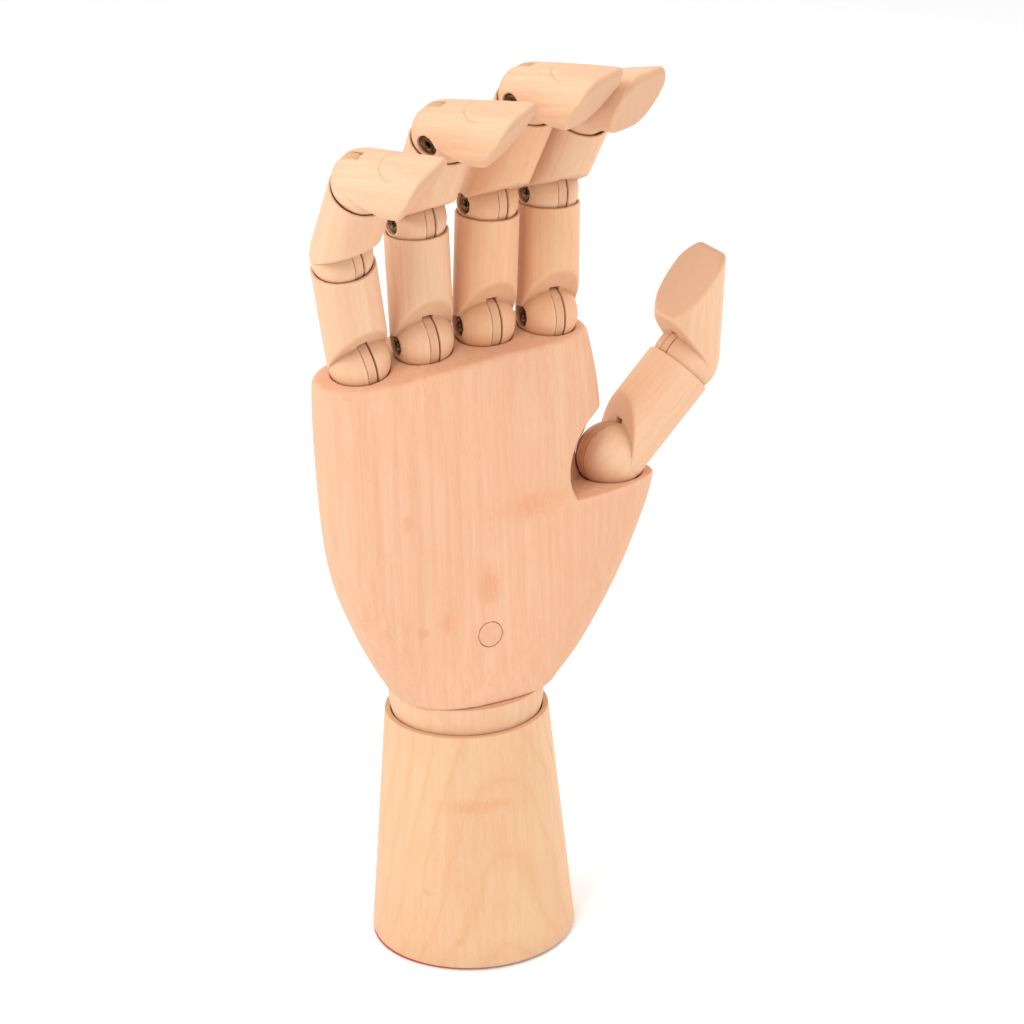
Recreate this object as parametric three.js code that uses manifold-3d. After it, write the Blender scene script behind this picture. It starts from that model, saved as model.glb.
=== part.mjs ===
// Jointed wooden hand on a tapered forearm base: a right hand, palm towards -Y, thumb towards +X.
// Millimetres, +Z up. The origin is on the base's axis, in the foot pad's flat underside.
import * as THREE from "three";
import { mergeVertices } from "three/addons/utils/BufferGeometryUtils.js";
import Module from "manifold-3d";

const wasm = await Module();
wasm.setup();
const { Manifold, Mesh } = wasm;

// ---------- driving dimensions ----------
const GAP = 0.3; // between pieces that touch in the real hand
const ROUND = 16; // facets round a finger
const ARC_STEPS = 4; // facets over a quarter of a finger ball
const TURNED = 28; // facets round the wrist pieces

const PAD = { radius: 28.8, thickness: 0.8, x: -2.4, y: 0.4 }; // red felt, glued on a little off centre
const BASE_BOTTOM_Z = PAD.thickness + GAP;
const BASE_TOP_Z = 76.6;
const BASE_FOOT_RADIUS = 32;
const BASE_TOP_RADIUS = 25.4;
const PIVOT_Z = 82.6; // centre of the wrist ball, above the base
const WRIST_RADIUS = 24;
const WRIST_TOP_Z = 84.9;
const WRIST_FLAT_Z = 60;
const ROD_RADIUS = 2.5;
const ROD_BOTTOM_Z = 25.5;
const ROD_TOP_Z = 110.6;
const WEB_HOLE_RADIUS = 8.7; // lets the rod lean inside the base
const CHAMBER_RADIUS = 20;
const SEAT_RADIUS = 34; // underside of the base's web, round the pivot
const SEAT_WASHER = { inner: 7.2, outer: 14, thickness: 1.5 };
const SPRING = { radius: 9, wire: 1, turns: 4, low: 34.6, high: 46.4 };
const ROD_WASHER = { outer: 10.4, low: 31.8, high: 33.3 };
const NUT = { acrossFlats: 8, low: 27.5, high: 31.5 };
const BARREL_NUT = { radius: 3.9, z: 106.6, front: -8, back: 6 };
const PLUG = { radius: 3.9, front: -17.7, back: -9 };

const PALM_BOTTOM_Z = 85.2;
const LEDGE_Z = 142.6; // the ledge the thumb stands on, which curves up into the palm's side
const PALM_OVER_TOP_Z = 204; // the loft runs past the top and is cut there
const PALM_SQUARENESS = 2.5; // superellipse power of each cross-section
const PALM_RING_POINTS = 32;
// height, half width on the little finger's side, half width on the thumb's side, half thickness
const PALM_RINGS = [
  [PALM_BOTTOM_Z, 23.6, 25.4, 21.8],
  [87.2, 25.4, 29.9, 21.2],
  [90.5, 27.6, 35, 20.4],
  [96, 30.4, 40.4, 19.2],
  [103, 33.8, 46, 18.6],
  [111, 37.1, 51.5, 18.1],
  [119, 40.2, 56.1, 17.8],
  [127, 42.3, 60.1, 17.6],
  [134.5, 43.6, 63.5, 17.5],
  [140, 44.1, 65.3, 17.5],
  [LEDGE_Z, 44.4, 65.9, 17.5],
  [LEDGE_Z + 0.3, 44.4, 61, 17.5],
  [143.8, 44.5, 53, 17.5],
  [145.8, 44.6, 48.6, 17.5],
  [149, 44.8, 45.8, 17.4],
  [154, 45, 45.8, 17.4],
  [161, 45.3, 46.8, 17.2],
  [169, 45.5, 46.9, 16.9],
  [178, 45.6, 45.9, 16.5],
  [187, 45.4, 44.2, 16],
  [193, 44.6, 42.9, 15.5],
  [PALM_OVER_TOP_Z, 42, 40, 14.5],
];
// The round pocket in the palm's side over the ledge, which clears the thumb's ball.
const HOLLOW = { x: 49, y: -13, z: 150, radius: 18 };
const TOP_SINK = 3.6; // the palm's top lies this far below the knuckle pins
const TOP_SLOPE = 8; // degrees, down towards the palm side

const SHANK_LENGTH = 9.5;
const TONGUE_THICKNESS = 2.8;
const TONGUE_FACETS = 14;
const PIN_RADIUS = 1.5;
const PIN_HEAD_RADIUS = 2.8;
const COUNTERBORE_RADIUS = 3.2;
const RIM_DEPTH = 3.6; // a socket's rim lies this far below the pin
const SCOOP_START = 1.5; // where the ledge over the ball begins, behind the pin
const SCOOP_SLOPE = 55; // degrees
const PAD_SLOPE = 41; // degrees between a fingertip's pad and its length
const PAD_OVERRUN = -0.3; // how far past its end a fingertip's pad would leave its back
const NAIL_START = 12;
const NAIL_SLOPE = 5; // degrees

// Each finger: its knuckle pin, how its socket leans (about Y) and turns (about its own length),
// then for each segment its radius, its length from pin to pin (or to the tip), how far it is bent
// and how far its tongue is twisted from the segment before it.
const FINGER_RADII = [9.5, 9.3, 9.3];
const FINGERS = [
  { name: "pinky", x: -31, z: 193.8, lean: -13,
    bend: [15, 28, 50], twist: [0, 9, 15], middle: 38, tip: 32.5, head: 1 },
  { name: "ring", x: -10.4, z: 196.7, lean: -3,
    bend: [4, 30.5, 53], twist: [0, 6, 23], middle: 35.5, tip: 34.5, head: -1 },
  { name: "middle", x: 10, z: 198.6, lean: 1.5,
    bend: [4, 29, 52], twist: [0, 6, 17], middle: 42, tip: 34.5, head: -1 },
  { name: "index", x: 31.1, z: 197.9, lean: 2,
    bend: [0, 34, 43], twist: [0, 3, 14.8], middle: 35, tip: 33.5, head: -1 },
].map((finger) => ({ turn: 0, radii: FINGER_RADII, lengths: [38, finger.middle, finger.tip], ...finger }));
const THUMB = {
  name: "thumb", x: 52, z: 148.4, lean: 20, turn: -89, bend: [-26, 46], twist: [0, 8], head: -1,
  radii: [10.8, 10.5], lengths: [38, 38.5],
};
const THUMB_OUTWARD = 6; // degrees the thumb can still move away from the palm
const SEGMENT_NAMES = ["proximal", "middle", "tip"];

const rad = THREE.MathUtils.degToRad;

// ---------- solids ----------
function solidOf(geometry) {
  const bare = geometry.clone();
  bare.deleteAttribute("normal");
  bare.deleteAttribute("uv");
  const merged = mergeVertices(bare, 1e-4);
  const build = (triVerts) =>
    new Manifold(
      new Mesh({ numProp: 3, vertProperties: new Float32Array(merged.attributes.position.array), triVerts }),
    );
  const made = build(new Uint32Array(merged.index.array));
  if (made.volume() > 0) return made;
  return build(new Uint32Array(merged.index.array).reverse()); // the profile ran the other way
}

function lathe(profile, facets = ROUND) {
  const points = profile.map(([r, z]) => new THREE.Vector2(r, z));
  return solidOf(new THREE.LatheGeometry(points, facets).rotateX(Math.PI / 2));
}

// A solid of revolution about Z with a hole through it: its profile closes on itself.
function ringLathe(profile, facets = TURNED) {
  return lathe([...profile, profile[0]], facets);
}

function cylinder(radius, low, high, facets = ROUND) {
  return lathe([[0, low], [radius, low], [radius, high], [0, high]], facets);
}

function arc(radius, from, to, steps, centreZ = 0) {
  const points = [];
  for (let i = 0; i <= steps; i++) {
    const a = rad(from + ((to - from) * i) / steps);
    points.push([radius * Math.cos(a), centreZ + radius * Math.sin(a)]);
  }
  return points;
}

function sphere(radius) {
  const profile = arc(radius, -90, 90, 2 * ARC_STEPS);
  profile[0][0] = 0;
  profile[profile.length - 1][0] = 0;
  return lathe(profile);
}

// The radius at the corners of a faceted hollow whose facets stay at least `radius` from its middle.
function hollowRadius(radius) {
  return radius / (Math.cos(Math.PI / ROUND) * Math.cos(Math.PI / 4 / ARC_STEPS));
}

// A profile in the YZ plane, drawn out along X.
function prismX(profile, x0, x1) {
  const shape = new THREE.Shape(profile.map(([y, z]) => new THREE.Vector2(y, z)));
  const geometry = new THREE.ExtrudeGeometry(shape, { depth: x1 - x0, bevelEnabled: false });
  geometry.applyMatrix4(
    new THREE.Matrix4().makeBasis(
      new THREE.Vector3(0, 1, 0), new THREE.Vector3(0, 0, 1), new THREE.Vector3(1, 0, 0),
    ),
  );
  return solidOf(geometry).translate([x0, 0, 0]);
}

// A profile in the XZ plane, drawn out along Y.
function prismY(profile, y0, y1) {
  const shape = new THREE.Shape(profile.map(([x, z]) => new THREE.Vector2(x, z)));
  const geometry = new THREE.ExtrudeGeometry(shape, { depth: y1 - y0, bevelEnabled: false });
  return solidOf(geometry.rotateX(Math.PI / 2)).translate([0, y1, 0]);
}

function placed(solid, matrix) {
  return solid.transform(matrix.elements);
}

function meshOf(name, solid, material) {
  const { vertProperties, triVerts } = solid.getMesh();
  const geometry = new THREE.BufferGeometry()
    .setAttribute("position", new THREE.BufferAttribute(new Float32Array(vertProperties), 3))
    .setIndex(new THREE.BufferAttribute(new Uint32Array(triVerts), 1));
  geometry.computeVertexNormals();
  const mesh = new THREE.Mesh(geometry, material.clone());
  mesh.name = name;
  return mesh;
}

// ---------- materials ----------
const wood = (color) => new THREE.MeshStandardMaterial({ color, roughness: 0.62 });
const BASE_WOOD = wood(0xe7b98d);
const PALM_WOOD = wood(0xe6b190);
const FINGER_WOOD = wood(0xecc49a);
const TONGUE_WOOD = wood(0xe0b184);
const FELT = new THREE.MeshStandardMaterial({ color: 0xb5322c, roughness: 1 });
const BRASS = new THREE.MeshStandardMaterial({ color: 0xb08d4a, metalness: 0.9, roughness: 0.35 });
const STEEL = new THREE.MeshStandardMaterial({ color: 0xa9adb2, metalness: 0.9, roughness: 0.35 });

// ---------- finger pieces: origin at the segment's pin, pin along X, palm side towards -Y ----------
// The slot a tongue works in: open round the ball, and closed over its back just past the pin.
function slotCut(ball) {
  const reach = hollowRadius(ball - 0.8 + GAP);
  const far = ball + 3;
  const back = Math.asin(3.5 / reach);
  const profile = [[-far, -far], [far, -far], [far, 3.5]];
  for (let i = 0; i <= ARC_STEPS; i++) {
    const a = back + ((Math.PI / 2 - back) * i) / ARC_STEPS;
    profile.push([reach * Math.cos(a), reach * Math.sin(a)]);
  }
  profile.push([-far, reach]);
  const half = TONGUE_THICKNESS / 2 + GAP;
  return prismX(profile, -half, half);
}

// What is cut away on the palm side, so that the segment can bend over its socket's rim.
function scoopCut(radius, ball) {
  const out = radius + 3;
  const wedge = prismX(
    [[SCOOP_START, 0], [-out, (SCOOP_START + out) * Math.tan(rad(SCOOP_SLOPE))], [-out, 0]],
    -out, out,
  );
  return wedge.subtract(sphere(ball));
}

function pinBore(radius, head) {
  const shaft = cylinder(PIN_RADIUS + GAP, -radius, 0.68 * radius, 8);
  const recess = cylinder(COUNTERBORE_RADIUS, -radius - 1, 0.3 - radius * 0.83, 10);
  const along = new THREE.Matrix4().makeRotationY((Math.PI / 2) * (head < 0 ? 1 : -1));
  return placed(shaft.add(recess), along);
}

function pinSolid(radius, head) {
  const seat = 0.3 - radius * 0.83;
  const shaft = cylinder(PIN_RADIUS, seat - 0.5, 0.68 * radius - GAP, 8);
  const rivet = cylinder(PIN_HEAD_RADIUS, seat - 1.3, seat - GAP, 10);
  const eye = cylinder(0.8, seat - 3, seat + 1.5, 6);
  const along = new THREE.Matrix4().makeRotationY((Math.PI / 2) * (head < 0 ? 1 : -1));
  return placed(shaft.add(rivet).subtract(eye), along);
}

function tongueSolid(ball) {
  const disc = ball - 0.8;
  const half = TONGUE_THICKNESS / 2;
  const shank = disc * 0.4;
  const shankTop = -(ball + GAP + 0.5);
  const stem = shank - 0.5;
  const start = Math.asin(stem / disc);
  const profile = [];
  for (let i = 0; i <= TONGUE_FACETS; i++) {
    const a = -Math.PI / 2 + start + ((2 * Math.PI - 2 * start) * i) / TONGUE_FACETS;
    profile.push([disc * Math.cos(a), disc * Math.sin(a)]);
  }
  profile.push([-stem, shankTop - 1], [stem, shankTop - 1]);
  const blade = prismX(profile, -half, half);
  const peg = cylinder(shank, shankTop - SHANK_LENGTH, shankTop, 10);
  const hole = placed(
    cylinder(PIN_RADIUS + GAP, -half - 1, half + 1, 8),
    new THREE.Matrix4().makeRotationY(Math.PI / 2),
  );
  return blade.add(peg).subtract(hole);
}

// The hollow that takes a ball and the shank of its tongue, round the pin of the child.
function socketCut(ball) {
  const shank = (ball - 0.8) * 0.4 + GAP + 0.1;
  const depth = ball + GAP + 0.5 + SHANK_LENGTH + GAP;
  return sphere(hollowRadius(ball + GAP)).add(cylinder(shank, -depth, -ball + 1, 10));
}

function shapedEnd(radius, length) {
  const outline = [[-radius - 1, -radius - 1], [radius + 1, -radius - 1]];
  const rounding = 0.7 * radius;
  const steps = 10;
  for (let i = 0; i <= steps; i++) {
    const a = (Math.PI * i) / steps;
    outline.push([(radius + 0.2) * Math.cos(a), length - rounding + rounding * Math.sin(a)]);
  }
  const out = radius + 3;
  const rise = 1 / Math.tan(rad(PAD_SLOPE));
  const start = length + PAD_OVERRUN - 2 * radius * rise;
  const pad = prismX(
    [[-radius - out, start - out * rise], [out, start + (radius + out) * rise], [-out - radius, length + 40]],
    -out, out,
  );
  const fall = Math.tan(rad(NAIL_SLOPE));
  const nail = prismX(
    [[radius, NAIL_START], [radius + 4, NAIL_START], [radius + 4, length + 5],
      [radius - fall * (length + 5 - NAIL_START), length + 5]],
    -out, out,
  );
  return prismY(outline, -out, out).subtract(pad).subtract(nail);
}

function segmentSolid({ radius, length, head, childBall }) {
  const ball = radius - 0.2;
  const profile = arc(ball, -90, 0, ARC_STEPS);
  profile[0][0] = 0;
  const end = childBall ? length - RIM_DEPTH : length;
  profile.push([radius, 1], [radius, end], [0, end]);
  let body = lathe(profile).subtract(scoopCut(radius, ball)).subtract(slotCut(ball));
  body = body.subtract(pinBore(radius, head));
  if (childBall) return body.subtract(socketCut(childBall).translate([0, 0, length]));
  return body.intersect(shapedEnd(radius, length));
}

// ---------- fingers ----------
function socketFrame({ x, z, lean, turn }) {
  const frame = new THREE.Group();
  frame.position.set(x, 0, z);
  frame.rotation.set(0, rad(lean), rad(turn), "YZX");
  return frame;
}

function addFinger(root, finger) {
  const { name, bend, twist, head, radii, lengths } = finger;
  const parts = radii.length === 3 ? SEGMENT_NAMES : ["proximal", "tip"];
  let holder = socketFrame(finger);
  root.add(holder);
  parts.forEach((part, i) => {
    const radius = radii[i];
    const label = `${name}_${part}`;
    const childBall = i + 1 < radii.length ? radii[i + 1] - 0.2 : 0;
    holder.add(meshOf(`${label}_tongue`, tongueSolid(radius - 0.2), TONGUE_WOOD));
    const segment = new THREE.Group();
    segment.rotation.x = rad(bend[i]);
    holder.add(segment);
    const solid = segmentSolid({ radius, length: lengths[i], head, childBall });
    segment.add(meshOf(label, solid, FINGER_WOOD));
    segment.add(meshOf(`${label}_pin`, pinSolid(radius, head), BRASS));
    if (!childBall) return;
    holder = new THREE.Group();
    holder.position.z = lengths[i];
    holder.rotation.z = rad(twist[i + 1]);
    segment.add(holder);
  });
}

// ---------- palm ----------
// Each cross-section is two half superellipses, one for each side of the palm.
function palmLoft() {
  const positions = [];
  const index = [];
  const n = PALM_RING_POINTS;
  const power = 2 / PALM_SQUARENESS;
  const bulge = (v) => Math.sign(v) * Math.abs(v) ** power;
  for (const [z, low, high, thick] of PALM_RINGS)
    for (let i = 0; i < n; i++) {
      const a = (2 * Math.PI * i) / n;
      const side = Math.cos(a) < 0 ? low : high;
      positions.push(side * bulge(Math.cos(a)), thick * bulge(Math.sin(a)), z);
    }
  const last = PALM_RINGS.length - 1;
  for (let k = 0; k < last; k++)
    for (let i = 0; i < n; i++) {
      const a = k * n + i;
      const b = k * n + ((i + 1) % n);
      index.push(a, b, b + n, a, b + n, a + n);
    }
  for (let i = 1; i < n - 1; i++) {
    index.push(0, i + 1, i);
    index.push(last * n, last * n + i, last * n + i + 1);
  }
  const geometry = new THREE.BufferGeometry();
  geometry.setAttribute("position", new THREE.Float32BufferAttribute(positions, 3));
  geometry.setIndex(index);
  return solidOf(geometry);
}

// Everything over the palm's top, which steps down with the knuckles and slopes to the palm side.
function overTheTop() {
  const pins = FINGERS.map(({ x, z }) => [x, z - TOP_SINK]);
  const [first, last] = [pins[0], pins[pins.length - 1]];
  const profile = [[-70, first[1] - 4], ...pins, [70, last[1] - 1.5], [70, 240], [-70, 240]];
  const mid = (first[1] + last[1]) / 2;
  const slope = new THREE.Matrix4()
    .makeTranslation(0, 0, mid)
    .multiply(new THREE.Matrix4().makeRotationX(rad(TOP_SLOPE)))
    .multiply(new THREE.Matrix4().makeTranslation(0, 0, -mid));
  return placed(prismY(profile, -40, 40), slope);
}

// The thumb's socket is opened on its outer side, where the thumb leans away from the palm.
function thumbSocket() {
  const ball = THUMB.radii[0] - 0.2;
  const frame = socketFrame(THUMB);
  frame.updateMatrix();
  const outward = new THREE.Matrix4().makeRotationX(rad(THUMB.bend[0] - THUMB_OUTWARD));
  const leaning = placed(cylinder(hollowRadius(THUMB.radii[0] + GAP), 0, 30), outward);
  const socket = socketCut(ball).add(leaning);
  return placed(socket, frame.matrix);
}

function thumbHollow() {
  const ball = Manifold.sphere(HOLLOW.radius, 32).translate([HOLLOW.x, HOLLOW.y, HOLLOW.z]);
  return ball.trimByPlane([0, 0, 1], LEDGE_Z);
}

function palmSolid() {
  let palm = palmLoft().subtract(overTheTop()).subtract(thumbHollow()).subtract(thumbSocket());
  for (const finger of FINGERS) {
    const frame = socketFrame(finger);
    frame.updateMatrix();
    palm = palm.subtract(placed(socketCut(FINGER_RADII[0] - 0.2), frame.matrix));
  }
  const rodBore = cylinder(ROD_RADIUS + 0.6, PALM_BOTTOM_Z - 5, ROD_TOP_Z + 2, 12);
  const crossBore = alongY(cylinder(BARREL_NUT.radius + GAP, -25, BARREL_NUT.back + GAP, 16));
  return palm.subtract(rodBore).subtract(crossBore);
}

// Turns a solid made along Z so that it lies along Y at the height of the barrel nut.
function alongY(solid) {
  const turn = new THREE.Matrix4()
    .makeTranslation(0, 0, BARREL_NUT.z)
    .multiply(new THREE.Matrix4().makeRotationX(-Math.PI / 2));
  return placed(solid, turn);
}

// ---------- base and wrist ----------
function baseSolid() {
  const cup = WRIST_RADIUS + GAP + 0.15;
  const degrees = (a) => THREE.MathUtils.radToDeg(a);
  const rim = -degrees(Math.asin((PIVOT_Z - BASE_TOP_Z) / cup));
  const hole = -degrees(Math.acos(WEB_HOLE_RADIUS / cup));
  const seatInner = -degrees(Math.acos(WEB_HOLE_RADIUS / SEAT_RADIUS));
  const seatOuter = -degrees(Math.acos(CHAMBER_RADIUS / SEAT_RADIUS));
  return ringLathe([
    [CHAMBER_RADIUS, BASE_BOTTOM_Z],
    [BASE_FOOT_RADIUS - 0.6, BASE_BOTTOM_Z],
    [BASE_FOOT_RADIUS, BASE_BOTTOM_Z + 0.6],
    [BASE_TOP_RADIUS + 0.05, BASE_TOP_Z - 0.3],
    [BASE_TOP_RADIUS - 0.25, BASE_TOP_Z],
    ...arc(cup, rim, hole, 7, PIVOT_Z),
    ...arc(SEAT_RADIUS, seatInner, seatOuter, 4, PIVOT_Z),
  ]);
}

function wristSolid() {
  const low = THREE.MathUtils.radToDeg(Math.asin((WRIST_FLAT_Z - PIVOT_Z) / WRIST_RADIUS));
  const bore = ROD_RADIUS + GAP;
  return ringLathe([
    [bore, WRIST_FLAT_Z],
    ...arc(WRIST_RADIUS, low, 0, 8, PIVOT_Z),
    [WRIST_RADIUS, WRIST_TOP_Z],
    [bore, WRIST_TOP_Z],
  ]);
}

function seatWasherSolid() {
  const { inner, outer, thickness } = SEAT_WASHER;
  const top = SEAT_RADIUS + GAP;
  const under = top + thickness;
  const at = (r, R) => -THREE.MathUtils.radToDeg(Math.acos(r / R));
  return ringLathe([
    ...arc(top, at(inner, top), at(outer, top), 2, PIVOT_Z),
    ...arc(under, at(outer, under), at(inner, under), 2, PIVOT_Z),
  ], 24);
}

function springSolid() {
  class Helix extends THREE.Curve {
    getPoint(t, target = new THREE.Vector3()) {
      const a = 2 * Math.PI * SPRING.turns * t;
      const z = SPRING.low + (SPRING.high - SPRING.low) * t;
      return target.set(SPRING.radius * Math.cos(a), SPRING.radius * Math.sin(a), z);
    }
  }
  const section = new THREE.Shape();
  for (let i = 0; i < 6; i++) {
    const a = (Math.PI * i) / 3;
    const point = [SPRING.wire * Math.cos(a), SPRING.wire * Math.sin(a)];
    if (i === 0) section.moveTo(...point);
    else section.lineTo(...point);
  }
  return solidOf(new THREE.ExtrudeGeometry(section, { steps: 10 * SPRING.turns, extrudePath: new Helix() }));
}

function addWrist(root) {
  const pad = cylinder(PAD.radius, 0, PAD.thickness, TURNED).translate([PAD.x, PAD.y, 0]);
  root.add(meshOf("foot_pad", pad, FELT));
  root.add(meshOf("forearm_base", baseSolid(), BASE_WOOD));
  root.add(meshOf("seat_washer", seatWasherSolid(), STEEL));
  root.add(meshOf("wrist_ball", wristSolid(), BASE_WOOD));
  root.add(meshOf("draw_rod", cylinder(ROD_RADIUS, ROD_BOTTOM_Z, ROD_TOP_Z, 12), STEEL));
  root.add(meshOf("tension_spring", springSolid(), STEEL));
  const bore = cylinder(ROD_RADIUS + GAP, 0, 60, 12);
  const washer = cylinder(ROD_WASHER.outer, ROD_WASHER.low, ROD_WASHER.high, 24).subtract(bore);
  root.add(meshOf("rod_washer", washer, STEEL));
  const corner = NUT.acrossFlats / Math.sqrt(3);
  const nut = cylinder(corner, NUT.low, NUT.high, 6).subtract(bore);
  root.add(meshOf("rod_nut", nut, STEEL));
}

function addPalm(root) {
  root.add(meshOf("palm_block", palmSolid(), PALM_WOOD));
  const rodHole = cylinder(ROD_RADIUS + GAP, PALM_BOTTOM_Z, ROD_TOP_Z + 5, 12);
  const barrel = alongY(cylinder(BARREL_NUT.radius, BARREL_NUT.front, BARREL_NUT.back, 16));
  root.add(meshOf("barrel_nut", barrel.subtract(rodHole), STEEL));
  root.add(meshOf("palm_plug", alongY(cylinder(PLUG.radius, PLUG.front, PLUG.back, 16)), PALM_WOOD));
}

const hand = new THREE.Group();
hand.name = "jointed_hand";
addWrist(hand);
addPalm(hand);
for (const finger of [...FINGERS, THUMB]) addFinger(hand, finger);

export default hand;
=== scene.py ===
"""Looks for the jointed wooden hand: carved and turned wood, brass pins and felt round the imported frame."""
import math

import bpy
import numpy as np
from mathutils import Matrix, Vector


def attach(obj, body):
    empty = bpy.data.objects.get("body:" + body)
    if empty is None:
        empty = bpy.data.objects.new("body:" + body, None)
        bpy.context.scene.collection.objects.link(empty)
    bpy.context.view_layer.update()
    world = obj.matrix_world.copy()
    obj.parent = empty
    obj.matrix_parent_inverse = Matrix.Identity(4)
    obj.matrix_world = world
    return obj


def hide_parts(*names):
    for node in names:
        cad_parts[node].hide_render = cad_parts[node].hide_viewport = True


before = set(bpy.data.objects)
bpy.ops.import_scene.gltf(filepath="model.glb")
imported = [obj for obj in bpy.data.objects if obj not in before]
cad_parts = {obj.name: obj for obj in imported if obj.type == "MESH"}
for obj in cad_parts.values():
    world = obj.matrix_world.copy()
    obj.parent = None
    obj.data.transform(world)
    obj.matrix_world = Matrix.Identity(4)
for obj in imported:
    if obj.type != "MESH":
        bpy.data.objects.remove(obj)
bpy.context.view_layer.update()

MM = 0.001

# ---------- sizes, in millimetres, the frame's own but where a comment says otherwise ----------
GAP = 0.3
BASE_FOOT_RADIUS = 32
BASE_TOP_RADIUS = 25.4
BASE_TOP_Z = 76.6
PAD_RADIUS = 29.5  # the felt's edge spreads a little past the frame's
PAD_MIDDLE = (-2.4, 0.4)
PAD_THICKNESS = 0.8
CHAMBER_RADIUS = 20
WEB_HOLE_RADIUS = 8.7
SEAT_RADIUS = 34
PIVOT_Z = 82.6
WRIST_RADIUS = 24
WRIST_FLAT_Z = 60
WRIST_TOP_Z = 85.12  # the palm sits down on the wrist with only a hair's gap
ROD_RADIUS = 2.5
ROD_TOP_Z = 110.6
BARREL_RADIUS = 3.9
BARREL_Z = 106.6
BARREL_BACK = 6
PLUG_BACK = -9
PLUG_FRONT = -18.35

PALM_BOTTOM_Z = 85.2
LEDGE_Z = 142.6
PALM_SQUARENESS = 2.5
# height, half width on the little finger's side, half width on the thumb's side, half thickness
PALM_RINGS = [
    (PALM_BOTTOM_Z, 23.6, 25.4, 21.8),
    (87.2, 25.4, 29.9, 21.2),
    (90.5, 27.6, 35, 20.4),
    (96, 30.4, 40.4, 19.2),
    (103, 33.8, 46, 18.6),
    (111, 37.1, 51.5, 18.1),
    (119, 40.2, 56.1, 17.8),
    (127, 42.3, 60.1, 17.6),
    (134.5, 43.6, 63.5, 17.5),
    (140, 44.1, 65.3, 17.5),
    (LEDGE_Z, 44.4, 65.9, 17.5),
    (LEDGE_Z + 0.3, 44.4, 61, 17.5),
    (143.8, 44.5, 53, 17.5),
    (145.8, 44.6, 48.6, 17.5),
    (149, 44.8, 45.8, 17.4),
    (154, 45, 45.8, 17.4),
    (161, 45.3, 46.8, 17.2),
    (169, 45.5, 46.9, 16.9),
    (178, 45.6, 45.9, 16.5),
    (187, 45.4, 44.2, 16),
    (193, 44.6, 42.9, 15.5),
    (204, 42, 40, 14.5),
]
# The round pocket in the palm's side over the ledge, which clears the thumb's ball.
HOLLOW_MIDDLE = (49, -13, 150)
HOLLOW_RADIUS = 18
HOLLOW_BLEND = 2  # how softly the pocket runs out into the palm's face
TOP_SINK = 3.6
TOP_SLOPE = math.radians(8)

BALL_STEP = 0.2  # a joint's ball is this much smaller than its segment
SHANK_LENGTH = 9.5
TONGUE_THICKNESS = 2.8
TONGUE_SHIFT = -0.2  # the tongues lie against one side of their slots
PIN_RADIUS = 1.5
COUNTERBORE_RADIUS = 3.2
RIM_DEPTH = 3.6
SCOOP_START = 1.5
SCOOP_SLOPE = math.radians(55)
PAD_SLOPE = math.radians(41)
PAD_OVERRUN = 1.2  # where the pad would leave the back; the rounding takes the point off again
APEX_ROUNDING = 3.4
NAIL_START = 12
NAIL_SLOPE = math.radians(5)

FINGER_RADII = (9.5, 9.3, 9.3)
FINGERS = [
    {"name": "pinky", "x": -31, "z": 193.8, "lean": -13, "bend": (15, 28, 50), "twist": (0, 9, 15),
     "lengths": (38, 38, 32.5), "head": 1},
    {"name": "ring", "x": -10.4, "z": 196.7, "lean": -3, "bend": (4, 30.5, 53), "twist": (0, 6, 23),
     "lengths": (38, 35.5, 34.5), "head": -1},
    {"name": "middle", "x": 10, "z": 198.6, "lean": 1.5, "bend": (4, 29, 52), "twist": (0, 6, 17),
     "lengths": (38, 42, 34.5), "head": -1},
    {"name": "index", "x": 31.1, "z": 197.9, "lean": 2, "bend": (0, 34, 43), "twist": (0, 3, 14.8),
     "lengths": (38, 35, 33.5), "head": -1},
]
for _finger in FINGERS:
    _finger.update(turn=0, radii=FINGER_RADII, parts=("proximal", "middle", "tip"))
THUMB = {"name": "thumb", "x": 52, "z": 148.4, "lean": 20, "turn": -89, "bend": (-26, 46), "twist": (0, 8),
         "lengths": (38, 38.5), "radii": (10.8, 10.5), "parts": ("proximal", "tip"), "head": -1}
THUMB_OUTWARD = 6


# ---------- distance fields: negative inside, in millimetres ----------
def smax(a, b, k):
    """The greater of two fields, with the edge between them rounded over about k."""
    h = np.maximum(k - np.abs(a - b), 0) / k
    return np.maximum(a, b) + h * h * k / 4


def smin(a, b, k):
    return -smax(-a, -b, k)


def ball_field(x, y, z, radius):
    return np.sqrt(x * x + y * y + z * z) - radius


def shank_radius(ball):
    return (ball - 0.8) * 0.4


def shank_top(ball):
    return -(ball + GAP + 0.5)


def slot_field(x, y, z, ball):
    """The slot a tongue works in: open round the ball, closed over the ball's back just past the pin."""
    reach = ball - 0.05
    across = np.abs(x) - (TONGUE_THICKNESS / 2 + GAP)
    disc = np.hypot(y, z) - reach
    palm_side = np.maximum(y, z - reach)
    return np.maximum(across, np.minimum(np.minimum(disc, palm_side), z - 3.5))


def pin_seat(radius):
    """How far from a segment's middle the floor of its counterbore lies."""
    return 0.83 * radius - 1.0


def pin_hole_field(x, y, z, radius, head):
    """A pin's bore and the counterbore its head lies in."""
    round_pin = np.hypot(y, z)
    recess = np.maximum(round_pin - COUNTERBORE_RADIUS, pin_seat(radius) - head * x)
    bore = np.maximum(round_pin - PIN_RADIUS - GAP, -0.68 * radius - head * x)
    return np.minimum(recess, bore)


def socket_field(x, y, z, ball):
    """The cup for a ball, with the hole for its tongue's shank below it."""
    shank = np.maximum(np.hypot(x, y) - shank_radius(ball) - 0.2, z)
    shank = np.maximum(shank, shank_top(ball) - SHANK_LENGTH - GAP - z)
    return np.minimum(ball_field(x, y, z, ball + GAP), shank)


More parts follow.
